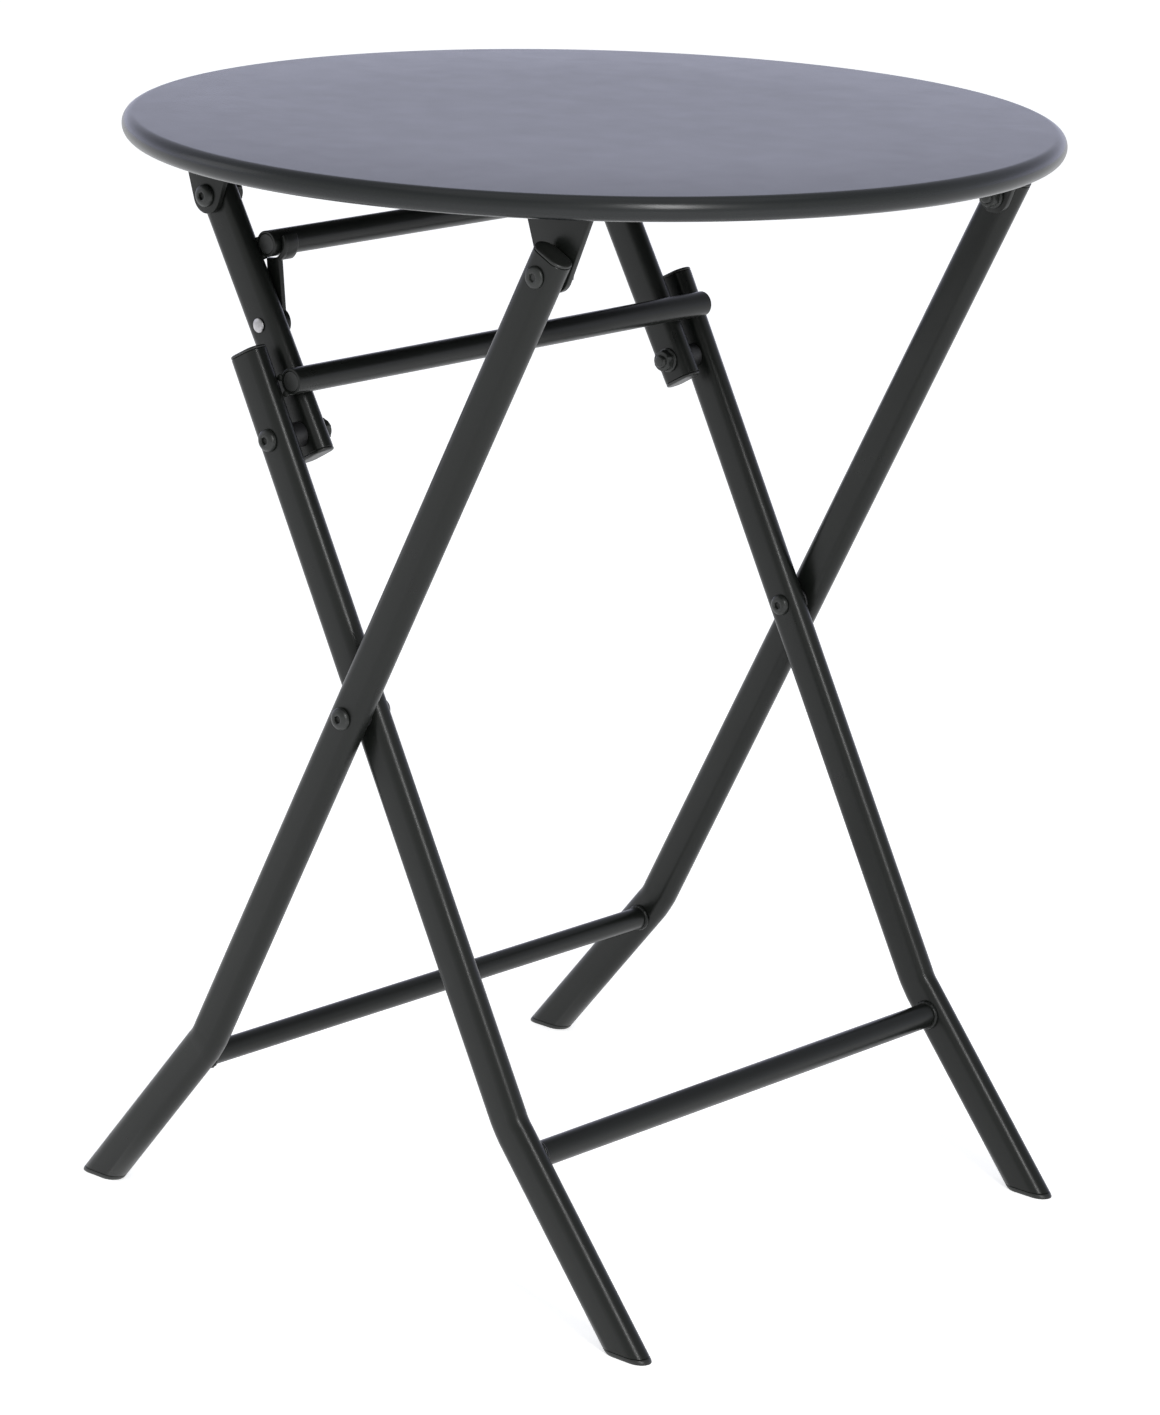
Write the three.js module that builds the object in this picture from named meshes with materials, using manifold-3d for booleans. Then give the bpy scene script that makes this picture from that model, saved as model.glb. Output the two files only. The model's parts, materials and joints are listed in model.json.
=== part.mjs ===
// A round folding bistro table: a sheet-steel top with a rolled rim on three pairs of flat-oval tube legs.
// The outer pair carries the top at one side. The inner pair crosses it, and a pair of links joins the
// inner legs' upper ends to the top's other side. At the knee the links meet a stop bar, which holds the
// table open. Pulling the knee sideways folds the top and both leg frames flat.
//
// Millimetres, +Z up, origin on the floor under the middle of the top. The crossbars run along Y, the
// outer legs' feet are at -X and the inner legs' feet at +X. "near" pieces are at -Y and "far" ones at +Y.
import * as THREE from "three";
import { mergeVertices } from "three/addons/utils/BufferGeometryUtils.js";
import Module from "manifold-3d";

const wasm = await Module();
wasm.setup();

// ---- Driving dimensions ----
const GAP = 0.3; // between pieces that touch
const SIDES = { near: -1, far: 1 };

// Top
const TOP_RADIUS = 297.5;
const TOP_HEIGHT = 712;
const SHEET = 2;
const RIM_RADIUS = 7.5; // of the rolled edge
const RIM_CURL_END = -205; // degrees round the roll, counted from +X, where the curl stops
const TOP_SEGMENTS = 72;
const UNDERSIDE = TOP_HEIGHT - SHEET - GAP;

// Pivot axes, as x and z, all parallel to Y
const TOP_PIVOT = at(160, 660.5); // outer legs on the top
const CROSS_PIVOT = at(7.5, 362); // inner legs on outer legs
const KNEE_PIVOT = at(-77.5, 520.5); // links on inner legs
const LINK_PIVOT = at(-159, 660.5); // links on the top

// Legs: flat-oval tube, bent once, with the foot cut level
const OUTER_FOOT = at(-216.5, 0);
const OUTER_BEND = at(-117.1, 119.2);
const OUTER_BEYOND_PIVOT = 13.5;
const INNER_FOOT = at(235.7, 0);
const INNER_BEND = at(133.9, 122.5);
const INNER_BEYOND_KNEE = 56;
const LINK_BELOW_KNEE = 14;
const LINK_ABOVE_PIVOT = 15.5;
const BEND_RADIUS = 60;
const BEND_STEPS = 4;
const LEG = { width: 26.6, thickness: 15.9, wall: 1.6 };
const LINK = { width: 27.2, thickness: 15.1, wall: 1.6 };
const OUTER_Y = 219; // middle planes of the legs
const INNER_Y = 200.9;
const LINK_Y = 174.3;

// Crossbars: round tube
const BAR_RADIUS = 8.3;
const THIN_BAR_RADIUS = 7.5;
const BAR_WALL = 1.5;
const OUTER_BAR = at(-126.4, 104.2);
const INNER_BAR = at(148, 104.8);
const STOP_BAR_ALONG = 28.7; // from the knee, along the link
const LINK_BAR_ALONG = 119;
const LINK_BAR_OFFSET = 20.2; // from the link's middle line, on its +X side
const STOP_BAR_SHORT = 6; // a bar on the legs' edges ends this far short of their middle planes
const LINK_BAR_SHORT = 3;
const BAR_PLUG = 6;

// Stiffening rails and hinge brackets under the top
const RAIL = { length: 400, inner: 128, outer: 148, depth: 10, sheet: 1.6 };
const BRACKET = { shoulder: 13, radius: 11.5, thickness: 4.1 };
const TOP_BRACKET_SIDES = [24.5, 27.5]; // from the pivot towards -X and +X
const LINK_BRACKET_SIDES = [24, 25];
const FLANGE = { width: 15, thickness: 2.5 };

// Fasteners
const BOLT_RADIUS = 4;
const BOLT_HOLE = BOLT_RADIUS + GAP;
const BOLT_HEAD = { radius: 7.2, height: 4 };
const LOW_HEAD = { radius: 6.8, height: 2.4 }; // on the outer legs' tops
const SLEEVE_NUT = { radius: 7, height: 3.6, barrel: 8 }; // the low nut at the crossing
const NUT = { flange: 8.2, flangeHeight: 1.4, flats: 13, height: 6.6, tip: 2.6 };
const WASHER_RADIUS = 9;

// Plastic end caps and foot glides
const CAP = { plate: 2, bevel: 1, plug: 9, fit: 0.35 };
const GLIDE = { sole: 3, plug: 12 };

// Safety catch on the near link
const CATCH_ALONG = 73.4; // its rivet, from the knee along the link
const CATCH = { thickness: 3.6, boss: 9.5, halfWidth: 5.8, sheet: 3, lip: 12 };
const CATCH_CLEARANCE = 1; // between its hook and the link crossbar
const HOOK_END = Math.PI / 7; // how far the hook rises round the bar, above the bar's middle
const LIP_START = -Math.PI / 3;
const RIVET = { radius: 2.6, head: 4.6, headHeight: 1.6 };

// ---- Finishes ----
const ANTHRACITE = 0x3a3c3d;
const PAINT = { color: ANTHRACITE, roughness: 0.5, metalness: 0.2 };
const TOP_PAINT = { color: 0x43464b, roughness: 0.4, metalness: 0.2 };
const PLASTIC = { color: 0x2b2c2d, roughness: 0.6, metalness: 0 };
const NYLON = { color: 0x1f2021, roughness: 0.5, metalness: 0 };
const DARK_STEEL = { color: 0x4a4c4d, roughness: 0.4, metalness: 0.6 };
const BRIGHT_STEEL = { color: 0xb9bbbd, roughness: 0.3, metalness: 0.9 };

const table = new THREE.Group();

// ---- Small helpers ----

// A point of the side view.
function at(x, z) {
  return new THREE.Vector2(x, z);
}

// The unit direction from a to b in the side view.
function direction(a, b) {
  return b.clone().sub(a).normalize();
}

// The point a given distance along and aside from a start. Aside is to the right of the direction.
function offset(start, along, distance, aside = 0) {
  return at(
    start.x + along.x * distance + along.y * aside,
    start.y + along.y * distance - along.x * aside,
  );
}

// A geometry as a solid for joining and cutting.
function solid(geometry) {
  const bare = geometry.clone();
  bare.deleteAttribute("normal");
  bare.deleteAttribute("uv");
  const merged = mergeVertices(bare, 1e-4);
  return new wasm.Manifold(
    new wasm.Mesh({
      numProp: 3,
      vertProperties: merged.attributes.position.array,
      triVerts: new Uint32Array(merged.index.array),
    }),
  );
}

// A solid as a geometry.
function geometryOf(manifold) {
  const mesh = manifold.getMesh();
  const geometry = new THREE.BufferGeometry();
  geometry.setAttribute("position", new THREE.BufferAttribute(mesh.vertProperties, 3));
  geometry.setIndex(new THREE.BufferAttribute(mesh.triVerts, 1));
  geometry.computeVertexNormals();
  return geometry;
}

// Adds one named piece to the table.
function add(name, geometry, finish, position = [0, 0, 0], rotation = [0, 0, 0]) {
  const mesh = new THREE.Mesh(geometry, new THREE.MeshStandardMaterial(finish));
  mesh.name = name;
  mesh.position.set(...position);
  mesh.rotation.set(...rotation);
  table.add(mesh);
}

// A box from its two corners.
function boxBetween(low, high) {
  const size = high.map((value, i) => value - low[i]);
  const centre = high.map((value, i) => (value + low[i]) / 2);
  return new THREE.BoxGeometry(...size).translate(...centre);
}

// A round bar along Y through a point of the side view.
function barAt(point, radius, fromY, toY, segments = 20) {
  return new THREE.CylinderGeometry(radius, radius, toY - fromY, segments)
    .translate(point.x, (fromY + toY) / 2, point.y);
}

// A bolt hole along Y, long enough to pass through any leg.
function boltHole(point, radius = BOLT_HOLE) {
  const reach = 20;
  return solid(barAt(point, radius, -reach, reach, 16));
}

// ---- Flat-oval tube ----

// A flat-oval outline: two flats joined by full rounds.
function flatOval(width, thickness) {
  const round = thickness / 2;
  const flat = width / 2 - round;
  const shape = new THREE.Shape();
  shape.moveTo(round, -flat);
  shape.lineTo(round, flat);
  shape.absarc(0, flat, round, 0, Math.PI, false);
  shape.lineTo(-round, -flat);
  shape.absarc(0, -flat, round, Math.PI, 2 * Math.PI, false);
  return shape;
}

// A path in the XZ plane that visits given stations only, so that long straight runs stay one step.
class Stations extends THREE.Curve {
  constructor(stations) {
    super();
    this.stations = stations;
  }
  station(u) {
    return this.stations[Math.round(u * (this.stations.length - 1))];
  }
  getPointAt(u) {
    const { point } = this.station(u);
    return new THREE.Vector3(point.x, 0, point.y);
  }
  getTangentAt(u) {
    const { tangent } = this.station(u);
    return new THREE.Vector3(tangent.x, 0, tangent.y);
  }
}

// The stations of a run from start to end, turning at the bend on the bend radius.
function bentRun(start, bend, end) {
  const first = direction(start, bend);
  const second = direction(bend, end);
  const turn = Math.atan2(first.x * second.y - first.y * second.x, first.dot(second));
  const setback = BEND_RADIUS * Math.tan(Math.abs(turn) / 2);
  const arcStart = offset(bend, first, -setback);
  const side = Math.sign(turn);
  const centre = offset(arcStart, first, 0, -side * BEND_RADIUS);
  const stations = [{ point: start, tangent: first }];
  for (let i = 0; i <= BEND_STEPS; i++) {
    const angle = (turn * i) / BEND_STEPS;
    const origin = new THREE.Vector2();
    const point = arcStart.clone().sub(centre).rotateAround(origin, angle).add(centre);
    stations.push({ point, tangent: first.clone().rotateAround(origin, angle) });
  }
  stations.push({ point: end, tangent: second });
  return stations;
}

// The stations of a straight run.
function straightRun(start, end) {
  const tangent = direction(start, end);
  return [{ point: start, tangent }, { point: end, tangent }];
}

// A solid bar of flat-oval section along a run.
function sweep(stations, width, thickness) {
  const geometry = new THREE.ExtrudeGeometry(flatOval(width, thickness), {
    steps: stations.length - 1,
    curveSegments: 3,
    extrudePath: new Stations(stations),
  });
  return solid(geometry);
}

// A run made longer at either end by a straight stretch.
function lengthened(stations, before, after) {
  const first = stations[0];
  const last = stations[stations.length - 1];
  return [
    { point: offset(first.point, first.tangent, -before), tangent: first.tangent },
    ...stations.slice(1, -1),
    { point: offset(last.point, last.tangent, after), tangent: last.tangent },
  ];
}

// The outside and the bore of a tube, as solids that run past its ends.
function tubeSolids(stations, section, shrink = 0) {
  const bore = 2 * (section.wall + shrink);
  return {
    outside: sweep(stations, section.width, section.thickness),
    bore: sweep(lengthened(stations, 1, 1), section.width - bore, section.thickness - bore),
  };
}

// The half space below a height, as a block.
function below(height) {
  const reach = 400;
  return solid(boxBetween([-reach, -reach, height - reach], [reach, reach, height]));
}

// A slab between two heights.
function slab(low, high) {
  const reach = 400;
  return solid(boxBetween([-reach, -reach, low], [reach, reach, high]));
}

// ---- Pieces that repeat ----

// A cap that closes a flat-oval tube: its plate lies outside the end and its plug inside.
function endCap(section) {
  const width = section.width - 2 * CAP.bevel;
  const thickness = section.thickness - 2 * CAP.bevel;
  const plate = new THREE.ExtrudeGeometry(flatOval(width, thickness), {
    depth: CAP.plate - CAP.bevel,
    bevelEnabled: true,
    bevelSegments: 2,
    bevelSize: CAP.bevel,
    bevelThickness: CAP.bevel,
    curveSegments: 3,
  });
  const keep = solid(boxBetween([-50, -50, 0], [50, 50, 50]));
  const inset = 2 * (section.wall + CAP.fit);
  const plug = new THREE.ExtrudeGeometry(
    flatOval(section.width - inset, section.thickness - inset),
    { depth: CAP.plug + 1, bevelEnabled: false, curveSegments: 3 },
  );
  plug.translate(0, 0, -CAP.plug);
  return geometryOf(solid(plate).intersect(keep).add(solid(plug)));
}

// Places a cap on the end of a tube whose outward direction is given.
function addCap(name, section, end, outward, y) {
  const geometry = endCap(section);
  const angle = Math.atan2(outward.x, outward.y);
  const turn = new THREE.Matrix4().makeRotationY(angle);
  // The outline's long side is along local Y, so it is turned into the side view first.
  geometry.applyMatrix4(new THREE.Matrix4().makeRotationZ(Math.PI / 2));
  geometry.applyMatrix4(turn);
  const start = offset(end, outward, GAP);
  add(name, geometry, PLASTIC, [start.x, y, start.y]);
}

// A bolt along Y: a domed head outside y = 0 and a shank below it.
function boltGeometry(shank, radius = BOLT_RADIUS, head = BOLT_HEAD) {
  const profile = [new THREE.Vector2(0, -shank), new THREE.Vector2(radius, -shank)];
  profile.push(new THREE.Vector2(radius, 0), new THREE.Vector2(head.radius, 0));
  const steps = 4;
  const lip = head.height * 0.3;
  for (let i = 0; i < steps; i++) {
    const angle = ((Math.PI / 2) * i) / steps;
    profile.push(
      new THREE.Vector2(
        head.radius * Math.cos(angle),
        lip + (head.height - lip) * Math.sin(angle),
      ),
    );
  }
  profile.push(new THREE.Vector2(0, head.height));
  return new THREE.LatheGeometry(profile, 16);
}

// A flanged hexagonal nut along Y on y = 0, closed by the bolt's tip. A stub can fill the hole behind it.
function nutGeometry(stub = 0) {
  const hex = NUT.flats / Math.sqrt(3);
  const body = new THREE.CylinderGeometry(hex * 0.94, hex, NUT.height, 6)
    .translate(0, NUT.height / 2, 0);
  const flange = new THREE.CylinderGeometry(NUT.flange * 0.96, NUT.flange, NUT.flangeHeight, 20)
    .translate(0, NUT.flangeHeight / 2, 0);
  const reach = NUT.height + NUT.tip;
  const tip = new THREE.CylinderGeometry(BOLT_RADIUS * 0.85, BOLT_RADIUS, reach, 14)
    .translate(0, reach / 2, 0);
  let nut = solid(body).add(solid(flange)).add(solid(tip));
  if (stub > 0) {
    const pin = new THREE.CylinderGeometry(BOLT_RADIUS, BOLT_RADIUS, stub + 1, 14)
      .translate(0, (1 - stub) / 2, 0);
    nut = nut.add(solid(pin));
  }
  return geometryOf(nut);
}

// A flat ring along Y, from y = 0.
function ringGeometry(outer, length) {
  const profile = [
    new THREE.Vector2(BOLT_HOLE, 0),
    new THREE.Vector2(outer, 0),
    new THREE.Vector2(outer, length),
    new THREE.Vector2(BOLT_HOLE, length),
    new THREE.Vector2(BOLT_HOLE, 0),
  ];
  return new THREE.LatheGeometry(profile, 20);
}

// Puts a piece whose outward direction is +Y at a distance from the middle, on one side of the table.
function addOnAxis(name, geometry, finish, point, distance, side, outward = 1) {
  const faces = side * outward;
  const rotation = faces > 0 ? [0, 0, 0] : [Math.PI, 0, 0];
  add(name, geometry, finish, [point.x, side * distance, point.y], rotation);
}

// ---- Top ----

// The sheet with its rolled rim, as one turned profile.
function topPanel() {
  const rollCentre = new THREE.Vector2(TOP_RADIUS - RIM_RADIUS, TOP_HEIGHT - RIM_RADIUS);
  const arc = (radius, from, to, steps) => {
    const points = [];
    for (let i = 0; i <= steps; i++) {
      const angle = THREE.MathUtils.degToRad(from + ((to - from) * i) / steps);
      points.push(
        new THREE.Vector2(
          rollCentre.x + radius * Math.cos(angle),
          rollCentre.y + radius * Math.sin(angle),
        ),
      );
    }
    return points;
  };
  const outside = arc(RIM_RADIUS, RIM_CURL_END, 90, 14);
  const inside = arc(RIM_RADIUS - SHEET, 90, RIM_CURL_END, 10);
  const profile = [
    new THREE.Vector2(0, TOP_HEIGHT - SHEET),
    ...inside,
    ...outside,
    new THREE.Vector2(0, TOP_HEIGHT),
  ];
  const lathe = new THREE.LatheGeometry(profile, TOP_SEGMENTS);
  add("top_panel", lathe, TOP_PAINT, [0, 0, 0], [Math.PI / 2, 0, 0]);
}

// A shallow stiffening channel under the top, inside the brackets of one side.
function rail(side, word) {
  const { inner, outer, depth, sheet, length } = RAIL;
  const half = (outer - inner) / 2;
  const outline = new THREE.Shape();
  outline.moveTo(-half, -depth);
  outline.lineTo(-half + sheet, -depth);
  outline.lineTo(-half + sheet, -sheet);
  outline.lineTo(half - sheet, -sheet);
  outline.lineTo(half - sheet, -depth);
  outline.lineTo(half, -depth);
  outline.lineTo(half, 0);
  outline.lineTo(-half, 0);
  outline.closePath();
  const geometry = new THREE.ExtrudeGeometry(outline, { depth: length, bevelEnabled: false });
  geometry.translate(0, 0, -length / 2);
  const across = new THREE.Vector3(0, 1, 0);
  const up = new THREE.Vector3(0, 0, 1);
  const along = new THREE.Vector3(1, 0, 0);
  geometry.applyMatrix4(new THREE.Matrix4().makeBasis(across, up, along));
  add("top_rail_" + word, geometry, PAINT, [0, (side * (inner + outer)) / 2, UNDERSIDE]);
}

// An angle bracket under the top. Its plate tapers down to the pivot and its flange lies against the sheet,
// reaching away from the middle of the table (towards = 1) or to it (towards = -1).
function bracket(name, pivot, sides, fromY, side, towards) {
  const { shoulder, radius, thickness } = BRACKET;
  const drop = UNDERSIDE - pivot.y;
  // The angle, from straight up, at which each tapered edge touches the round end.
  const [left, right] = sides.map((half) => {
    const reach = Math.hypot(half, drop - shoulder);
    return Math.atan2(half, drop - shoulder) + Math.acos(radius / reach);
  });
  const outline = new THREE.Shape();
  outline.moveTo(-sides[0], drop);
  outline.lineTo(-sides[0], drop - shoulder);
  outline.absarc(0, 0, radius, Math.PI / 2 + left, Math.PI / 2 - right + 2 * Math.PI, false);
  outline.lineTo(sides[1], drop - shoulder);
  outline.lineTo(sides[1], drop);
  outline.closePath();
  const hole = new THREE.Path();
  hole.absarc(0, 0, BOLT_HOLE, 0, 2 * Math.PI, true);
  outline.holes.push(hole);
  const geometry = new THREE.ExtrudeGeometry(outline, {
    depth: thickness,
    bevelEnabled: false,
    curveSegments: 8,
  });
  geometry.translate(0, 0, -thickness / 2);
  const edge = thickness / 2 + FLANGE.width;
  const flange = boxBetween(
    [-sides[0], drop - FLANGE.thickness, side * towards > 0 ? -edge : 0],
    [sides[1], drop, side * towards > 0 ? 0 : edge],
  );
  const plate = geometryOf(solid(geometry).add(solid(flange)));
  const middle = side * (fromY + thickness / 2);
  add(name, plate, PAINT, [pivot.x, middle, pivot.y], [Math.PI / 2, 0, 0]);
}

// ---- Leg frames ----

const outerUp = direction(OUTER_BEND, TOP_PIVOT);
const innerUp = direction(INNER_BEND, KNEE_PIVOT);
const linkUp = direction(KNEE_PIVOT, LINK_PIVOT);

// A bent leg with its foot cut level above the glide, and the glide.
function bentLeg(name, foot, bend, end, holes, y) {
  const stations = lengthened(bentRun(foot, bend, end), 60, 0);
  const { outside, bore } = tubeSolids(stations, LEG);
  let leg = outside.subtract(bore).subtract(below(GLIDE.sole + GAP));
  for (const hole of holes) {
    leg = leg.subtract(boltHole(hole));
  }
  add(name, geometryOf(leg), PAINT, [0, y, 0]);

  const fitted = tubeSolids(stations, LEG, CAP.fit);
  const sole = outside.intersect(slab(0, GLIDE.sole));
  const plug = fitted.bore.intersect(slab(GLIDE.sole / 2, GLIDE.sole + GLIDE.plug));
  add(name.replace("leg", "glide"), geometryOf(sole.add(plug)), PLASTIC, [0, y, 0]);
}

// A round crossbar between two flat leg faces, or one that lies on the legs' edges and is cut to fit them.
function crossbar(name, point, radius, halfLength, seats = []) {
  const outside = solid(barAt(point, radius, -halfLength, halfLength));
  const bore = solid(barAt(point, radius - BAR_WALL, -halfLength - 1, halfLength + 1));
  let bar = outside.subtract(bore);
  for (const seat of seats) {
    bar = bar.subtract(seat);
  }
  add(name, geometryOf(bar), PAINT);
}

// The plugs that close an open-ended bar, flush with its ends.
function barPlugs(name, point, halfLength) {
  const radius = BAR_RADIUS - BAR_WALL - GAP;
  for (const [word, side] of Object.entries(SIDES)) {
    const ends = [side * (halfLength - BAR_PLUG), side * halfLength];
    add(name + word, barAt(point, radius, Math.min(...ends), Math.max(...ends)), PLASTIC);
  }
}

// The room that a pair of legs needs in a bar that lies on their edges.
function seatsFor(start, end, section, y) {
  const run = straightRun(start, end);
  const room = sweep(run, section.width + 2 * GAP, section.thickness + 2 * GAP);
  return [-y, y].map((shift) => room.translate([0, shift, 0]));
}

function outerFrame() {
  const end = offset(TOP_PIVOT, outerUp, OUTER_BEYOND_PIVOT);
  for (const [word, side] of Object.entries(SIDES)) {
    const y = side * OUTER_Y;
    bentLeg("outer_leg_" + word, OUTER_FOOT, OUTER_BEND, end, [CROSS_PIVOT, TOP_PIVOT], y);
    addCap("outer_leg_cap_" + word, LEG, end, outerUp, y);
  }
  const halfLength = OUTER_Y - LEG.thickness / 2 - GAP;
  crossbar("outer_crossbar", OUTER_BAR, THIN_BAR_RADIUS, halfLength);
}

function innerFrame() {
  const end = offset(KNEE_PIVOT, innerUp, INNER_BEYOND_KNEE);
  for (const [word, side] of Object.entries(SIDES)) {
    const y = side * INNER_Y;
    bentLeg("inner_leg_" + word, INNER_FOOT, INNER_BEND, end, [CROSS_PIVOT, KNEE_PIVOT], y);
    addCap("inner_leg_cap_" + word, LEG, end, innerUp, y);
  }
  const halfLength = INNER_Y - LEG.thickness / 2 - GAP;
  crossbar("inner_crossbar", INNER_BAR, BAR_RADIUS, halfLength);
  const stopAside = LINK.width / 2 + BAR_RADIUS + GAP;
  const stopPoint = offset(KNEE_PIVOT, linkUp, STOP_BAR_ALONG, stopAside);
  const seats = seatsFor(CROSS_PIVOT, end, LEG, INNER_Y);
  crossbar("stop_bar", stopPoint, BAR_RADIUS, INNER_Y - STOP_BAR_SHORT, seats);
  barPlugs("stop_bar_plug_", stopPoint, INNER_Y - STOP_BAR_SHORT);
}

function linkFrame() {
  const low = offset(KNEE_PIVOT, linkUp, -LINK_BELOW_KNEE);
  const high = offset(LINK_PIVOT, linkUp, LINK_ABOVE_PIVOT);
  const catchPoint = offset(KNEE_PIVOT, linkUp, CATCH_ALONG);
  const run = straightRun(low, high);
  const { outside, bore } = tubeSolids(run, LINK);
  const plain = outside.subtract(bore)
    .subtract(boltHole(KNEE_PIVOT))
    .subtract(boltHole(LINK_PIVOT));
  for (const [word, side] of Object.entries(SIDES)) {
    const y = side * LINK_Y;
    const hole = boltHole(catchPoint, RIVET.radius + GAP);
    const leg = word === "near" ? plain.subtract(hole) : plain;
    add("link_leg_" + word, geometryOf(leg), PAINT, [0, y, 0]);
    addCap("link_top_cap_" + word, LINK, high, linkUp, y);
    addCap("link_bottom_cap_" + word, LINK, low, linkUp.clone().negate(), y);
  }
  const barPoint = offset(KNEE_PIVOT, linkUp, LINK_BAR_ALONG, LINK_BAR_OFFSET);
  const seats = seatsFor(low, high, LINK, LINK_Y);
  crossbar("link_crossbar", barPoint, BAR_RADIUS, LINK_Y - LINK_BAR_SHORT, seats);
  barPlugs("link_bar_plug_", barPoint, LINK_Y - LINK_BAR_SHORT);
  safetyCatch(catchPoint, barPoint);
}

// ---- Safety catch ----

// A flat lever on the near link's inner face. It ends in a hook, with a lip along it, that cups the
// crossbar's lower and outer sides.
function safetyCatch(rivetPoint, barPoint) {
  const { thickness, boss, halfWidth, sheet, lip } = CATCH;
  const distance = barPoint.distanceTo(rivetPoint);
  const mouth = BAR_RADIUS + CATCH_CLEARANCE;
  // The angle, from straight up, at which the lever's edges leave the round boss.
  const neck = Math.asin(halfWidth / boss);
  const lever = new THREE.Shape();
  lever.absarc(0, 0, boss, Math.PI / 2 + neck, Math.PI / 2 - neck + 2 * Math.PI, false);
  lever.absarc(0, distance, mouth + sheet, -Math.acos(halfWidth / (mouth + sheet)), HOOK_END, false);
  lever.absarc(0, distance, mouth, HOOK_END, -Math.PI / 2, true);
  lever.lineTo(-halfWidth, distance - mouth);
  lever.closePath();
  const hole = new THREE.Path();
  hole.absarc(0, 0, RIVET.radius + GAP, 0, 2 * Math.PI, true);
  lever.holes.push(hole);
  const folded = new THREE.Shape();
  folded.absarc(0, distance, mouth + sheet, LIP_START, HOOK_END, false);
  folded.absarc(0, distance, mouth, HOOK_END, LIP_START, true);
  folded.closePath();
  const [flat, edge] = [[lever, thickness], [folded, lip]].map(([shape, depth]) => {
    const plate = new THREE.ExtrudeGeometry(shape, { depth, bevelEnabled: false, curveSegments: 8 });
    return solid(plate.translate(0, 0, -depth));
  });
  const geometry = geometryOf(flat.add(edge));
  // The outline's up becomes the direction from the rivet to the bar.
  const up = direction(rivetPoint, barPoint);
  geometry.rotateX(Math.PI / 2);
  geometry.rotateY(Math.atan2(up.x, up.y));
  const face = -(LINK_Y - LINK.thickness / 2 - GAP);
  add("safety_catch", geometry, PAINT, [rivetPoint.x, face, rivetPoint.y]);

  const grip = LINK.thickness + thickness + 3 * GAP;
  const rivet = solid(boltGeometry(grip + 0.5, RIVET.radius, {
    radius: RIVET.head,
    height: RIVET.headHeight,
  }));
  const tail = new THREE.CylinderGeometry(RIVET.head, RIVET.head, RIVET.headHeight, 14)
    .translate(0, -grip - RIVET.headHeight / 2, 0);
  const outerFace = LINK_Y + LINK.thickness / 2 + GAP;
  const joined = geometryOf(rivet.add(solid(tail)));
  addOnAxis("catch_rivet", joined, BRIGHT_STEEL, rivetPoint, outerFace, SIDES.near);
}

// ---- Fasteners ----

// The distances from the middle at which the legs' faces lie.
const FACE = {
  outerOut: OUTER_Y + LEG.thickness / 2,
  outerIn: OUTER_Y - LEG.thickness / 2,
  innerOut: INNER_Y + LEG.thickness / 2,
  innerIn: INNER_Y - LEG.thickness / 2,
  linkOut: LINK_Y + LINK.thickness / 2,
  linkIn: LINK_Y - LINK.thickness / 2,
};
const TOP_BRACKET_IN = FACE.outerIn - GAP - BRACKET.thickness;
const LINK_BRACKET_IN = FACE.linkOut + GAP;

// A bolt from an outer face to an inner one, with its nut.
function boltAndNut(name, point, outside, inside, side, word, head = BOLT_HEAD) {
  const bolt = boltGeometry(outside - inside + GAP, BOLT_RADIUS, head);
  addOnAxis(name + "_bolt_" + word, bolt, DARK_STEEL, point, outside + GAP, side);
  addOnAxis(name + "_nut_" + word, nutGeometry(), DARK_STEEL, point, inside - GAP, side, -1);
}

// The bolt at the crossing, with a low nut whose barrel reaches into the inner leg to meet it.
function crossingBolt(side, word) {
  const { outerOut, innerIn } = FACE;
  const bolt = boltGeometry(outerOut - innerIn + GAP - SLEEVE_NUT.barrel);
  addOnAxis("cross_pivot_bolt_" + word, bolt, DARK_STEEL, CROSS_PIVOT, outerOut + GAP, side);
  const nut = boltGeometry(SLEEVE_NUT.barrel, BOLT_RADIUS, SLEEVE_NUT);
  addOnAxis("cross_pivot_nut_" + word, nut, DARK_STEEL, CROSS_PIVOT, innerIn - GAP, side, -1);
}

function fasteners(side, word) {
  boltAndNut("top_pivot", TOP_PIVOT, FACE.outerOut, TOP_BRACKET_IN, side, word, LOW_HEAD);
  crossingBolt(side, word);
  const linkBracketOut = LINK_BRACKET_IN + BRACKET.thickness;
  boltAndNut("link_pivot", LINK_PIVOT, linkBracketOut, FACE.linkIn, side, word);

  const washer = ringGeometry(WASHER_RADIUS, FACE.outerIn - FACE.innerOut - 2 * GAP);
  const washerAt = FACE.innerOut + GAP;
  addOnAxis("cross_washer_" + word, washer, NYLON, CROSS_PIVOT, washerAt, side);

  // At the knee the bolt and its spacer belong to the inner legs, and the nut with its end to the links.
  const kneeBolt = boltGeometry(FACE.innerOut - FACE.linkOut);
  addOnAxis("knee_bolt_" + word, kneeBolt, DARK_STEEL, KNEE_PIVOT, FACE.innerOut + GAP, side);
  const spacer = ringGeometry(WASHER_RADIUS - 1, FACE.innerIn - FACE.linkOut - 2 * GAP);
  addOnAxis("knee_spacer_" + word, spacer, NYLON, KNEE_PIVOT, FACE.linkOut + GAP, side);
  const kneeNut = nutGeometry(LINK.thickness);
  addOnAxis("knee_nut_" + word, kneeNut, DARK_STEEL, KNEE_PIVOT, FACE.linkIn - GAP, side, -1);
}

// ---- The table ----

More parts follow.
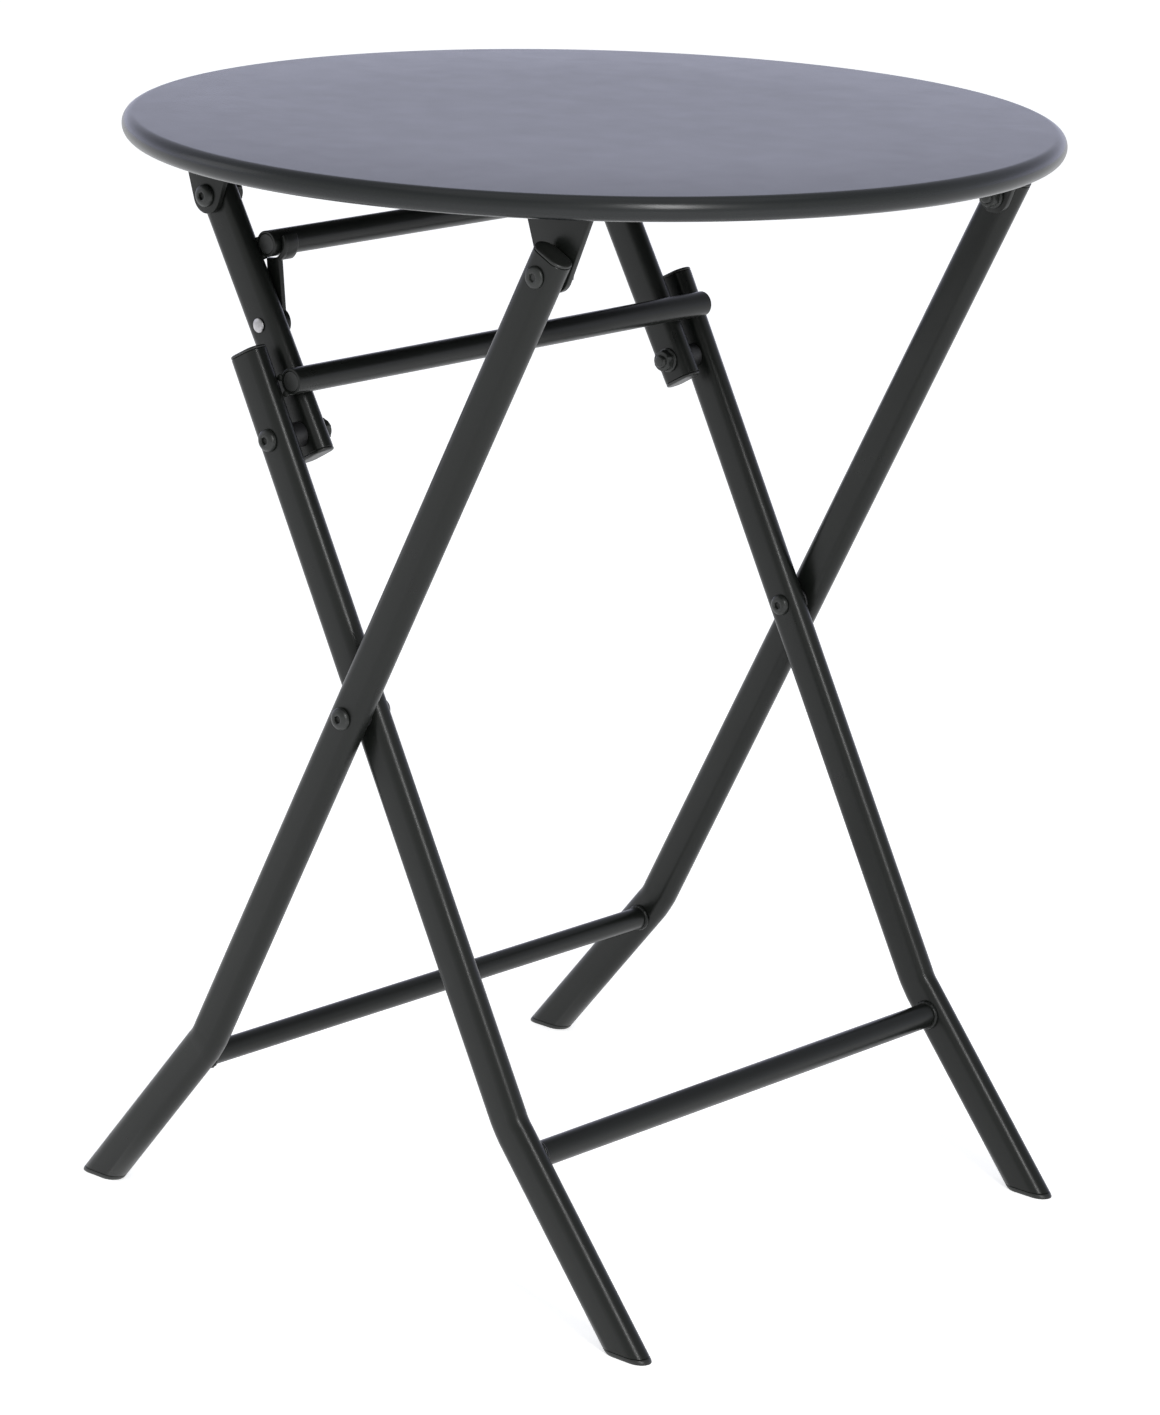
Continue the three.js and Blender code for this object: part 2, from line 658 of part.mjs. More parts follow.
topPanel();
for (const [word, side] of Object.entries(SIDES)) {
  rail(side, word);
  bracket("top_bracket_" + word, TOP_PIVOT, TOP_BRACKET_SIDES, TOP_BRACKET_IN, side, -1);
  bracket("link_bracket_" + word, LINK_PIVOT, LINK_BRACKET_SIDES, LINK_BRACKET_IN, side, 1);
  fasteners(side, word);
}
outerFrame();
innerFrame();
linkFrame();

export default table;
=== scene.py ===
"""The looks of the folding bistro table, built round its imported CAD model. Metres, +Z up."""

import json
import math
import random

import bmesh
import bpy
from mathutils import Matrix, Vector


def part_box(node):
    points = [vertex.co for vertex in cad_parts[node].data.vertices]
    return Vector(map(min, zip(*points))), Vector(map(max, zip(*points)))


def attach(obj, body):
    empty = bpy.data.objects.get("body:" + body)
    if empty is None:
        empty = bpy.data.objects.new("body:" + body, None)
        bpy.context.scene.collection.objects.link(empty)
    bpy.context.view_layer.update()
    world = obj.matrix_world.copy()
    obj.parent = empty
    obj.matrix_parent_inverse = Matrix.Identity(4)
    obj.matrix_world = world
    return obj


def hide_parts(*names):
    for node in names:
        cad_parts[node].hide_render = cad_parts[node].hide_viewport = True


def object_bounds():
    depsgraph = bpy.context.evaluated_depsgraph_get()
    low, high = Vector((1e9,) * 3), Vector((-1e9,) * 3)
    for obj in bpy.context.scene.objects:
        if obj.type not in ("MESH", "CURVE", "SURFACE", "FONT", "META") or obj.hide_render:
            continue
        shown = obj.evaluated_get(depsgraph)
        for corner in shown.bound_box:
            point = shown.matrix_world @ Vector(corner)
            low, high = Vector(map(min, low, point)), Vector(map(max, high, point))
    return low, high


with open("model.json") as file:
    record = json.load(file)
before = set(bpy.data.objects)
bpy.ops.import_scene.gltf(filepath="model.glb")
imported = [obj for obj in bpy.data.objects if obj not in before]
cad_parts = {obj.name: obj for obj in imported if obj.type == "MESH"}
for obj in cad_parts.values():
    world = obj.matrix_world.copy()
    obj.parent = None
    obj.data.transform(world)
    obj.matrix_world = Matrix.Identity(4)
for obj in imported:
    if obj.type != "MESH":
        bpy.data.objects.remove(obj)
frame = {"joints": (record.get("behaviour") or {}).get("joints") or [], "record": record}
cad_low, cad_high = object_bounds()

MM = 0.001
SIDES = {"near": -1, "far": 1}

# ---- Driving dimensions ----
TOP_RADIUS = cad_high.x
TOP_HEIGHT = cad_high.z
SHEET = 2 * MM
RIM_RADIUS = 7.5 * MM
RIM_CURL_END = -205  # degrees round the roll, from outwards, where the curl stops
LEG_WIDTH = 26.6 * MM
LINK_WIDTH = 27.2 * MM
TUBE_WALL = 1.6 * MM
OUTER_BEND = Vector((-117.1, 119.2)) * MM
INNER_BEND = Vector((133.9, 122.5)) * MM
BEND_RADIUS = 60 * MM
OUTER_BEYOND_PIVOT = 13.5 * MM
INNER_BEYOND_KNEE = 56 * MM
LINK_BELOW_KNEE = 14 * MM
LINK_ABOVE_PIVOT = 15.5 * MM
SOLE = 3 * MM  # the part of a glide that shows below its leg
CAP_PLATE = 2 * MM
CAP_PLUG = 9 * MM  # how far a cap's plug goes into its tube
GLIDE_PLUG = 12 * MM
PLUG_FIT = TUBE_WALL + 0.35 * MM  # from a tube's outside to the plug in it
GAP = 0.3 * MM
THREAD_PITCH = 1.25 * MM

# The photograph's viewpoint
CAMERA_AZIMUTH = 41.86
CAMERA_ELEVATION = 15.61
CAMERA_ROLL = 1.576
CAMERA_AIM = Vector((0.001, 0, 0.325))
CAMERA_DISTANCE = 3.2974
CAMERA_LENS = 128.87


# ---- Places from the frame ----

def side_view(point):
    """The x and z of a point."""
    return Vector((point[0], point[2]))


def middle(node):
    """The middle of a CAD node's box."""
    low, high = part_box(node)
    return (low + high) / 2


JOINTS = {joint["name"]: joint for joint in frame["joints"]}
MOUNTS = {mount["name"]: mount for mount in frame["record"]["mounts"]}
TOP_PIVOT = side_view(JOINTS["top_fold"]["pos_m"])
CROSS_PIVOT = side_view(JOINTS["inner_frame_fold"]["pos_m"])
LINK_PIVOT = side_view(JOINTS["link_fold"]["pos_m"])
CATCH_PIVOT = side_view(JOINTS["catch_swing"]["pos_m"])
KNEE_PIVOT = side_view(middle("knee_spacer_near"))
OUTER_FOOT = side_view(MOUNTS["foot_outer_near"]["pos_m"])
INNER_FOOT = side_view(MOUNTS["foot_inner_near"]["pos_m"])


def direction(start, end):
    """The unit direction from start to end in the side view."""
    return (end - start).normalized()


OUTER_UP = direction(OUTER_BEND, TOP_PIVOT)
INNER_UP = direction(INNER_BEND, KNEE_PIVOT)
LINK_UP = direction(KNEE_PIVOT, LINK_PIVOT)


# ---- Materials ----

class Nodes:
    """A material's node tree, with short calls to add to it."""

    def __init__(self, name):
        self.material = bpy.data.materials.new(name)
        self.material.use_nodes = True
        self.tree = self.material.node_tree
        self.shader = self.tree.nodes["Principled BSDF"]
        self.coordinates = self.add("ShaderNodeTexCoord").outputs["Object"]

    def add(self, kind, **settings):
        node = self.tree.nodes.new(kind)
        for key, value in settings.items():
            setattr(node, key, value)
        return node

    def link(self, output, socket):
        self.tree.links.new(output, socket)

    def noise(self, size, detail=2.0, roughness=0.5, stretch=(1, 1, 1)):
        """Noise whose grains are about size metres across."""
        mapping = self.add("ShaderNodeMapping")
        mapping.inputs["Scale"].default_value = stretch
        self.link(self.coordinates, mapping.inputs["Vector"])
        noise = self.add("ShaderNodeTexNoise")
        noise.inputs["Scale"].default_value = 1 / size
        noise.inputs["Detail"].default_value = detail
        noise.inputs["Roughness"].default_value = roughness
        self.link(mapping.outputs["Vector"], noise.inputs["Vector"])
        return noise.outputs["Fac"]

    def ramp(self, factor, low, high, start=0.3, end=0.7):
        """Colours or greys from low to high as the factor goes from start to end."""
        ramp = self.add("ShaderNodeValToRGB")
        for element, place, value in zip(ramp.color_ramp.elements, (start, end), (low, high)):
            element.position = place
            element.color = (*value, 1) if hasattr(value, "__len__") else (value, value, value, 1)
        self.link(factor, ramp.inputs["Fac"])
        return ramp.outputs["Color"]

    def mixed(self, factor, low, high, blend="MIX"):
        """A mix of two colours by a factor."""
        mix = self.add("ShaderNodeMix", data_type="RGBA", blend_type=blend)
        for value, key in ((factor, "Factor"), (low, "A"), (high, "B")):
            socket = mix.inputs[key]
            if isinstance(value, bpy.types.NodeSocket):
                self.link(value, socket)
            else:
                socket.default_value = value if isinstance(value, float) else (*value, 1)
        return mix.outputs["Result"]

    def bump(self, heights):
        """Bump from pairs of a height and its depth in metres."""
        normal = None
        for height, depth in heights:
            bump = self.add("ShaderNodeBump")
            bump.inputs["Strength"].default_value = 1
            bump.inputs["Distance"].default_value = depth
            self.link(height, bump.inputs["Height"])
            if normal is not None:
                self.link(normal, bump.inputs["Normal"])
            normal = bump.outputs["Normal"]
        self.link(normal, self.shader.inputs["Normal"])


def shade(colour, factor):
    """A colour made lighter or darker."""
    return tuple(channel * factor for channel in colour)


def powder_coat(name, colour, roughness, grain, depth, specular, unevenness):
    """Powder-coated steel: slow changes of tone, a fine orange-peel grain and faint handling marks."""
    nodes = Nodes(name)
    clouds = nodes.noise(60 * MM, 3)
    specks = nodes.noise(grain * 1.4, 2)
    tone = nodes.ramp(clouds, shade(colour, 1 - unevenness), shade(colour, 1 + unevenness))
    speck = nodes.ramp(specks, 0.0, 1.0, 0.35, 0.75)
    speckled = nodes.mixed(speck, shade(colour, 0.9), shade(colour, 1.15))
    nodes.link(nodes.mixed(0.35, tone, speckled), nodes.shader.inputs["Base Color"])
    rubbed = nodes.noise(25 * MM, 4, 0.6)
    rub = unevenness / 3
    nodes.link(nodes.ramp(rubbed, roughness - rub, roughness + rub), nodes.shader.inputs["Roughness"])
    nodes.shader.inputs["Specular IOR Level"].default_value = specular
    nodes.bump([(nodes.noise(grain, 2), depth), (nodes.noise(grain * 6, 1), depth * 1.5)])
    return nodes.material


def moulded_plastic(name, colour, roughness):
    """Moulded plastic: an even tone with a fine spark-eroded texture."""
    nodes = Nodes(name)
    clouds = nodes.noise(12 * MM, 2)
    tone = nodes.ramp(clouds, shade(colour, 0.85), shade(colour, 1.2))
    nodes.link(tone, nodes.shader.inputs["Base Color"])
    fine = nodes.noise(0.5 * MM, 3, 0.6)
    nodes.link(nodes.ramp(fine, roughness - 0.08, roughness + 0.08), nodes.shader.inputs["Roughness"])
    nodes.bump([(fine, 0.03 * MM)])
    return nodes.material


def coated_steel(name, colour, roughness, metallic, grain=0.6 * MM):
    """Plated or blackened steel: uneven tone, and fine scratches round and across it."""
    nodes = Nodes(name)
    clouds = nodes.noise(5 * MM, 3)
    tone = nodes.ramp(clouds, shade(colour, 0.75), shade(colour, 1.25))
    nodes.link(tone, nodes.shader.inputs["Base Color"])
    scratches = nodes.noise(grain, 3, 0.7, (1, 4, 1))
    nodes.link(nodes.ramp(scratches, roughness - 0.1, roughness + 0.12), nodes.shader.inputs["Roughness"])
    nodes.shader.inputs["Metallic"].default_value = metallic
    nodes.bump([(scratches, 0.02 * MM)])
    return nodes.material


TOP_COLOUR = (0.011, 0.0125, 0.013)
FRAME_COLOUR = (0.0065, 0.0075, 0.0065)
MATERIALS = {
    "top_paint": powder_coat("top_powder_coat", TOP_COLOUR, 0.26, 0.9 * MM, 0.006 * MM, 0.32, 0.03),
    "frame_paint": powder_coat("frame_powder_coat", FRAME_COLOUR, 0.31, 0.8 * MM, 0.01 * MM, 0.29, 0.12),
    "end_plastic": moulded_plastic("cap_plastic", (0.011, 0.012, 0.011), 0.4),
    "nylon": moulded_plastic("washer_nylon", (0.01, 0.01, 0.011), 0.45),
    "fasteners": coated_steel("fastener_steel", (0.016, 0.0175, 0.016), 0.36, 0.15),
    "bright_rivet": coated_steel("rivet_zinc", (0.48, 0.47, 0.48), 0.42, 0.85),
}


# ---- Meshes ----

def make_piece(name, shapes, body, slot, *nodes, smooth=40):
    """One piece from closed shapes, each a pair of points and faces. It stands for CAD nodes, if any."""
    mesh = bpy.data.meshes.new(name)
    points, faces = [], []
    for shape_points, shape_faces in shapes:
        first = len(points)
        points += [tuple(point) for point in shape_points]
        faces += [[first + index for index in face] for face in shape_faces]
    mesh.from_pydata(points, [], faces)
    build = bmesh.new()
    build.from_mesh(mesh)
    bmesh.ops.remove_doubles(build, verts=build.verts, dist=1e-6)
    bmesh.ops.recalc_face_normals(build, faces=build.faces)
    build.to_mesh(mesh)
    build.free()
    mesh.shade_smooth()
    mesh.set_sharp_from_angle(angle=math.radians(smooth))
    mesh.materials.append(MATERIALS[slot])
    piece = bpy.data.objects.new(name, mesh)
    bpy.context.scene.collection.objects.link(piece)
    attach(piece, body)
    if nodes:
        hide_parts(*nodes)
    return piece


def loft(rings, ring_closed=False):
    """Points and faces through rings of equal length: capped at both ends, or closed on itself."""
    count = len(rings[0])
    points = [point for ring in rings for point in ring]
    faces = []
    spans = len(rings) if ring_closed else len(rings) - 1
    for i in range(spans):
        a, b = i * count, ((i + 1) % len(rings)) * count
        for j in range(count):
            k = (j + 1) % count
            faces.append([a + j, a + k, b + k, b + j])
    if not ring_closed:
        faces.append(list(range(count)))
        faces.append([len(points) - count + j for j in range(count)])
    return points, faces


def place(point, y):
    """A side-view point at a distance across."""
    return Vector((point.x, y, point.y))


def aside_of(along):
    """The direction to the right of a direction in the side view."""
    return Vector((along.y, -along.x))


def spokes(count):
    """Unit directions evenly round a circle."""
    angles = (2 * math.pi * i / count for i in range(count))
    return [Vector((math.cos(angle), math.sin(angle))) for angle in angles]


def oval(width, thickness, steps=12):
    """A flat-oval outline as pairs along its width and across its thickness."""
    radius = thickness / 2
    flat = width / 2 - radius
    points = []
    for end in (1, -1):
        for i in range(steps + 1):
            angle = math.pi * i / steps
            points.append((end * (flat + radius * math.sin(angle)), end * radius * math.cos(angle)))
    return points


def oval_ring(outline, point, along, y):
    """An outline's ring square to a direction."""
    aside = aside_of(along)
    return [place(point + aside * width, y + depth) for width, depth in outline]


def level_ring(outline, point, along, y, height):
    """An outline's ring carried along its direction to a level plane."""
    aside = aside_of(along)
    ring = []
    for width, depth in outline:
        start = point + aside * width
        ring.append(place(start + along * ((height - start.y) / along.y), y + depth))
    return ring


def bend_stations(start, bend, end, steps=20):
    """Points and directions along a bent run, and how far round the bend each one is."""
    first, second = direction(start, bend), direction(bend, end)
    turn = first.angle_signed(second)
    setback = BEND_RADIUS * math.tan(abs(turn) / 2)
    arc_start = bend - first * setback
    centre = arc_start + aside_of(first) * math.copysign(BEND_RADIUS, turn)
    stations = [(start, first, 0.0)]
    for i in range(steps + 1):
        spin = Matrix.Rotation(-turn * i / steps, 2)
        point = centre + spin @ (arc_start - centre)
        stations.append((point, spin @ first, math.sin(math.pi * i / steps)))
    stations.append((end, second, 0.0))
    return stations


def spaced(stations, step):
    """Stations with the long straight stretches divided."""
    result = [stations[0]]
    for (start, *_), (point, tangent, share) in zip(stations, stations[1:]):
        pieces = max(1, round((point - start).length / step))
        for i in range(1, pieces):
            result.append((start.lerp(point, i / pieces), direction(start, point), 0.0))
        result.append((point, tangent, share))
    return result


def tube(stations, width, thickness, y, foot=None):
    """A flat-oval tube with a wall, and with softened lips at its ends. A foot is cut level."""
    lip = 0.5 * MM
    outside, inside = [], []
    for index, (point, along, bent) in enumerate(stations):
        # The bend squeezes the tube a little and pushes its flats out.
        squeezed = (width * (1 - 0.02 * bent), thickness * (1 + 0.025 * bent))
        outer = oval(*squeezed)
        inner = oval(squeezed[0] - 2 * TUBE_WALL, squeezed[1] - 2 * TUBE_WALL)
        softened = oval(width - lip, thickness - lip)
        if index == 0 and foot is not None:
            outside.append(level_ring(softened, point, along, y, foot))
            outside.append(level_ring(outer, point, along, y, foot + lip / 2))
            inside.append(level_ring(inner, point, along, y, foot))
        elif index == 0:
            outside.append(oval_ring(softened, point, along, y))
            outside.append(oval_ring(outer, point + along * lip / 2, along, y))
            inside.append(oval_ring(inner, point, along, y))
        elif index == len(stations) - 1:
            outside.append(oval_ring(outer, point - along * lip / 2, along, y))
            outside.append(oval_ring(softened, point, along, y))
            inside.append(oval_ring(inner, point, along, y))
        else:
            outside.append(oval_ring(outer, point, along, y))
            inside.append(oval_ring(inner, point, along, y))
    return loft(outside + inside[::-1], ring_closed=True)


def cap(end, along, y, width, thickness):
    """A plastic end cap: a plug in the tube and a domed plate on its end."""
    edge = 0.8 * MM
    plug = (width - 2 * PLUG_FIT, thickness - 2 * PLUG_FIT)
    rings = []
    for depth, inset in ((CAP_PLUG, edge), (CAP_PLUG - edge, 0), (-GAP, 0)):
        outline = oval(plug[0] - inset, plug[1] - inset)
        rings.append(oval_ring(outline, end - along * depth, along, y))
    # The dome: shares of the plate's height, and how many millimetres narrower it is there.
    dome = [(0, 0.8), (0.12, 0.24), (0.3, 0), (0.62, 0.16), (0.82, 0.8), (0.95, 2.08), (1, 4.16), (1, 8)]
    for height, inset in dome:
        outline = oval(width - inset * MM, thickness - inset * MM)
        rings.append(oval_ring(outline, end + along * (GAP + height * CAP_PLATE), along, y))
    return loft(rings)


def glide(foot, along, y, width, thickness):
    """A foot glide: a sole cut level with the floor and a plug up the leg."""
    # Shares of the sole's height, and how many millimetres narrower it is there.
    sole = [(0, 3.2), (0, 1.6), (0.06, 0.9), (0.25, 0.3), (0.5, 0.05), (0.9, 0), (1, 0.4)]
    rings = []
    for height, inset in sole:
        outline = oval(width - inset * MM, thickness - inset * MM)
        rings.append(level_ring(outline, foot, along, y, height * SOLE))
    plug = oval(width - 2 * PLUG_FIT, thickness - 2 * PLUG_FIT)
    for height in (SOLE, SOLE + GLIDE_PLUG):
        rings.append(level_ring(plug, foot, along, y, height))
    return loft(rings)


# ---- Turned pieces along Y ----

def circle(angle):
    """A round outline."""
    return 1.0


def hexagon(angle):
    """A six-sided outline, 1 to its flats."""
    sector = math.pi / 3
    return 1 / math.cos((angle + sector / 2) % sector - sector / 2)


def turned(profile, point, start, outward, segments=48):
    """A turned solid along Y from (distance outward, radius, shape) rows."""
    rings = []
    for distance, radius, shape in profile:
        ring = []
        for i in range(segments):
            angle = 2 * math.pi * i / segments
            reach = max(radius, 1e-5) * shape(angle)
            where = point + Vector((math.cos(angle), math.sin(angle))) * reach
            ring.append(place(where, start + outward * distance))
        rings.append(ring)
    return loft(rings)


def bolt(point, face, outward, shank, radius, height):
    """A button-head bolt with a hexagon socket. Its head sits on a face and its shank runs inwards."""
    socket, edge = 2.3 * MM, 0.6 * MM
    rows = [(-shank, 3.4 * MM, circle), (-shank + 0.6 * MM, 4 * MM, circle), (0, 4 * MM, circle)]
    rows += [(0, radius - 0.3 * MM, circle), (0.2 * MM, radius, circle), (edge, radius, circle)]
    steps = 9
    rim = socket * 1.35
    for i in range(1, steps + 1):
        angle = math.pi / 2 * i / steps
        reach = rim + (radius - rim) * math.cos(angle)
        rows.append((edge + (height - edge) * math.sin(angle), reach, circle))
    rows += [(height - 0.15 * MM, socket * 1.18, circle), (height - 0.4 * MM, socket, hexagon)]
    rows += [(height * 0.45, socket, hexagon), (height * 0.3, 0, circle)]
    return turned(rows, point, face, outward)


def nut(point, face, outward, stub=0.0):
    """A flanged hexagon nut with the threaded end of its bolt. A stub can fill the hole behind it."""
    flats, flange, height, tip = 6.5 * MM, 8.2 * MM, 6.6 * MM, 2.6 * MM
    rows = []
    if stub:
        rows += [(-stub, 3.6 * MM, circle), (-stub + 0.4 * MM, 4 * MM, circle), (0, 4 * MM, circle)]
    rows += [(0, flange - 0.3 * MM, circle), (0.3 * MM, flange, circle)]
    rows += [(1.0 * MM, flange - 0.1 * MM, circle), (1.5 * MM, flats * 1.12, circle)]
    rows += [(1.7 * MM, flats * 0.985, hexagon), (2.0 * MM, flats, hexagon)]
    rows += [(height - 0.9 * MM, flats, hexagon), (height - 0.35 * MM, flats * 1.02, circle)]
    rows += [(height, flats * 0.9, circle), (height, 4.5 * MM, circle)]
    rows.append((height - 0.5 * MM, 4.1 * MM, circle))
    threads = int(tip / THREAD_PITCH * 2)
    for i in range(threads + 1):
        ridge = 4 * MM if i % 2 else 3.55 * MM
        rows.append((height + i * THREAD_PITCH / 2 - 0.3 * MM, ridge, circle))
    rows += [(height + tip - 0.2 * MM, 3.1 * MM, circle), (height + tip, 2.6 * MM, circle)]
    return turned(rows, point, face, outward)


def ring(point, start, outward, radius, length):
    """A washer or spacer with softened edges."""
    hole, edge = 4.3 * MM, min(0.3 * MM, length / 4)
    rows = [(edge, radius), (0, radius - edge), (0, hole + edge), (edge, hole)]
    rows += [(length - edge, hole), (length, hole + edge)]
    rows += [(length, radius - edge), (length - edge, radius)]
    rings = []
    for distance, reach in rows:
        rings.append([place(point + spoke * reach, start + outward * distance) for spoke in spokes(48)])
    return loft(rings, ring_closed=True)


# ---- Welds ----

def bead(path, radius, seed, closed=False, sides=10):
    """A weld bead along points, rippled like laid coins."""
    chance = random.Random(seed)
    count = len(path)
    rings = []
    for i, point in enumerate(path):
        before = path[(i - 1) % count] if closed or i > 0 else point
        after = path[(i + 1) % count] if closed or i < count - 1 else point
        tangent = (after - before).normalized()
        side = tangent.orthogonal().normalized()
        up = tangent.cross(side)
        if abs(tangent.y) < 0.99:
            side = Vector((0, 1, 0)).cross(tangent).normalized()
            up = tangent.cross(side)
        ripple = 1 + 0.1 * math.sin(i * 1.9) + chance.uniform(-0.06, 0.06)
        taper = 1.0
        if not closed:
            taper = max(0.12, math.sqrt(max(0.0, 1 - abs(2 * i / (count - 1) - 1) ** 4)))
        reach = radius * ripple * taper
        rings.append([point + (side * spoke.x + up * spoke.y) * reach for spoke in spokes(sides)])
    return loft(rings, ring_closed=closed)


def weld_ring(point, y, radius, size, seed):
    """The bead round a bar where it butts on a flat face."""
    path = [place(point + spoke * radius, y) for spoke in spokes(64)]
    return bead(path, size, seed, closed=True)


def weld_saddle(bar, bar_radius, leg_along, y, thickness, bar_end, seed):
    """Two beads in the grooves where a bar's end lies across the rounded edge of a leg."""
    size, steps = 2.1 * MM, 9
    groove = math.radians(38)  # round the bar, from where it is nearest the leg
    follow = 0.35  # how much of the leg's rounding the bead follows
    towards = KNEE_PIVOT - bar
    towards = (towards - leg_along * towards.dot(leg_along)).normalized()
    # Just inside the leg's inner face.
    start = y - math.copysign(thickness * 0.46, y)
    shapes = []
    for turn in (-1, 1):
        out = Matrix.Rotation(turn * groove, 2) @ towards
        line = bar + out * (bar_radius + 0.4 * MM)
        path = []
        for i in range(steps):
            across = start + (bar_end - start) * i / (steps - 1) - y
            recede = thickness / 2 - math.sqrt((thickness / 2) ** 2 - across ** 2)
            path.append(place(line + towards * recede * follow, y + across))
        shapes.append(bead(path, size, seed + turn))
    return shapes


# ---- Sheet-metal pieces ----

def plate(outline, low, high, to_point, bevel=0.5 * MM):
    """A plate from an outline, with rounded edges. to_point places (u, v, depth)."""
    build = bmesh.new()
    count = len(outline)
    rims = [[build.verts.new(to_point(u, v, depth)) for u, v in outline] for depth in (low, high)]
    build.faces.new(rims[0])
    build.faces.new(rims[1])
    for i in range(count):
        k = (i + 1) % count
        build.faces.new([rims[0][i], rims[0][k], rims[1][k], rims[1][i]])
    bmesh.ops.recalc_face_normals(build, faces=build.faces)
    edges = [edge for rim in rims for i in range(count)
             if (edge := build.edges.get([rim[i], rim[(i + 1) % count]]))]
    bmesh.ops.bevel(build, geom=edges, offset=bevel, segments=3, profile=0.5, affect="EDGES")
    build.verts.index_update()
    points = [vertex.co.copy() for vertex in build.verts]
    faces = [[vertex.index for vertex in face.verts] for face in build.faces]
    build.free()
    return points, faces


def soft_rectangle(half_width, half_depth, bevel):
    """A rectangle with rounded corners, as pairs."""
    bevel = min(bevel, half_width * 0.9, half_depth * 0.9)
    points = []
    for corner, (x, y) in enumerate(((1, 1), (-1, 1), (-1, -1), (1, -1))):
        for i in range(4):
            angle = math.pi / 2 * (corner + i / 3)
            points.append((
                x * (half_width - bevel) + bevel * math.cos(angle),
                y * (half_depth - bevel) + bevel * math.sin(angle),
            ))
    return points


def strip(x, rows, thickness, bevel=0.5 * MM):
    """A bent strip of sheet. Each row is its middle (y, z), its face direction and its reach each way."""
    rings = []
    for index, (centre, face, left, right) in enumerate(rows):
        last = index == len(rows) - 1
        half_depth = thickness / 2 - (bevel * 0.6 if last else 0)
        middle_x = x + (right - left) / 2
        rings.append([
            Vector((middle_x + a, centre.x + face.x * b, centre.y + face.y * b))
            for a, b in soft_rectangle((left + right) / 2, half_depth, bevel)
        ])
    return loft(rings)


def bracket_rows(node, pivot, towards):
    """A bracket from its rounded lower end, up its taper, and round into the flange under the sheet."""
    low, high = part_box(node)
    radius, shoulder, thickness = 11.5 * MM, 13 * MM, 4.1 * MM
    sides = (pivot.x - low.x, high.x - pivot.x)
    out = math.copysign(1, (low.y + high.y) / 2) * towards
    # The flange reaches away from the plate, so the plate's middle is at the box's other edge.
    plate_y = (low.y if out > 0 else high.y) + out * thickness / 2
    drop = high.z - pivot.y
    top = drop - shoulder
    # Where each tapered edge touches the round end: out from the pivot, and up from it.
    touches = []
    for side in sides:
        angle = math.atan2(side, top) + math.acos(radius / math.hypot(side, top))
        touches.append((radius * math.sin(angle), radius * math.cos(angle)))

    def reach(height):
        """How far the plate reaches to each side at a height above the pivot."""
        for side, (across, up) in zip(sides, touches):
            if height <= up:
                yield math.sqrt(max(radius ** 2 - height ** 2, 0))
            else:
                yield across + (side - across) * (height - up) / (top - up)

    face = Vector((out, 0))
    steps = 14
    turn_end = math.acos(-max(up for across, up in touches) / radius)
    heights = [-radius * math.cos(turn_end * i / steps) for i in range(1, steps + 1)]
    heights += [up for across, up in touches] + [top - 0.6 * MM]
    rows = []
    for height in sorted(set(heights)):
        rows.append((Vector((plate_y, pivot.y + height)), face, *reach(height)))
    rows.append((Vector((plate_y, pivot.y + top + 0.6 * MM)), face, *sides))
    bend = 4.5 * MM
    centre = Vector((plate_y + out * bend, high.z - thickness / 2 - bend))
    for i in range(9):
        angle = math.pi / 2 * i / 8
        rim = Vector((-out * math.cos(angle), math.sin(angle)))
        rows.append((centre + rim * bend, -rim, *sides))
    edge = high.y if out > 0 else low.y
    rows.append((Vector((edge - out * 0.5 * MM, high.z - thickness / 2)), Vector((0, -1)), *sides))
    trimmed = (side - 0.4 * MM for side in sides)
    rows.append((Vector((edge, high.z - thickness / 2)), Vector((0, -1)), *trimmed))
    return strip(pivot.x, rows, thickness)


def channel(node, sheet=1.6 * MM, bend=2.2 * MM):
    """A stiffening channel: a web against the sheet and two legs pointing down, bent from one strip."""
    low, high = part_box(node)
    half, depth = (high.y - low.y) / 2, high.z - low.z
    middle_y = (low.y + high.y) / 2
    line = [(Vector((-half + sheet / 2, -depth)), Vector((1, 0)))]
    for side, first in ((-1, math.pi), (1, math.pi / 2)):
        centre = Vector((side * (half - sheet / 2 - bend), -sheet / 2 - bend))
        for i in range(7):
            angle = first - math.pi / 2 * i / 6
            out = Vector((math.cos(angle), math.sin(angle)))
            line.append((centre + out * bend, -out))
    line.append((Vector((half - sheet / 2, -depth)), Vector((-1, 0))))
    outline = [point - inwards * sheet / 2 for point, inwards in line]
    outline += [point + inwards * sheet / 2 for point, inwards in reversed(line)]
    rings = [[Vector((x, middle_y + p.x, high.z + p.y)) for p in outline] for x in (low.x, high.x)]
    return loft(rings)


# ---- The top ----

def top_sheet():
    """The sheet and its rolled rim, turned about the middle."""
    roll = Vector((TOP_RADIUS - RIM_RADIUS, TOP_HEIGHT - RIM_RADIUS))
    flat = 50 * MM
    profile = [Vector((flat, TOP_HEIGHT - SHEET)), Vector((roll.x * 0.6, TOP_HEIGHT - SHEET))]

    def arc(radius, start, end, steps):
        for i in range(steps + 1):
            angle = math.radians(start + (end - start) * i / steps)
            yield roll + Vector((math.cos(angle), math.sin(angle))) * radius

    profile += arc(RIM_RADIUS - SHEET, 90, RIM_CURL_END, 40)
    profile += arc(RIM_RADIUS, RIM_CURL_END, 90, 56)
    profile += [Vector((roll.x * 0.6, TOP_HEIGHT)), Vector((flat, TOP_HEIGHT))]
    round_top = spokes(240)
    rings = [[Vector((*(spoke * point.x), point.y)) for spoke in round_top] for point in profile]
    return loft(rings)


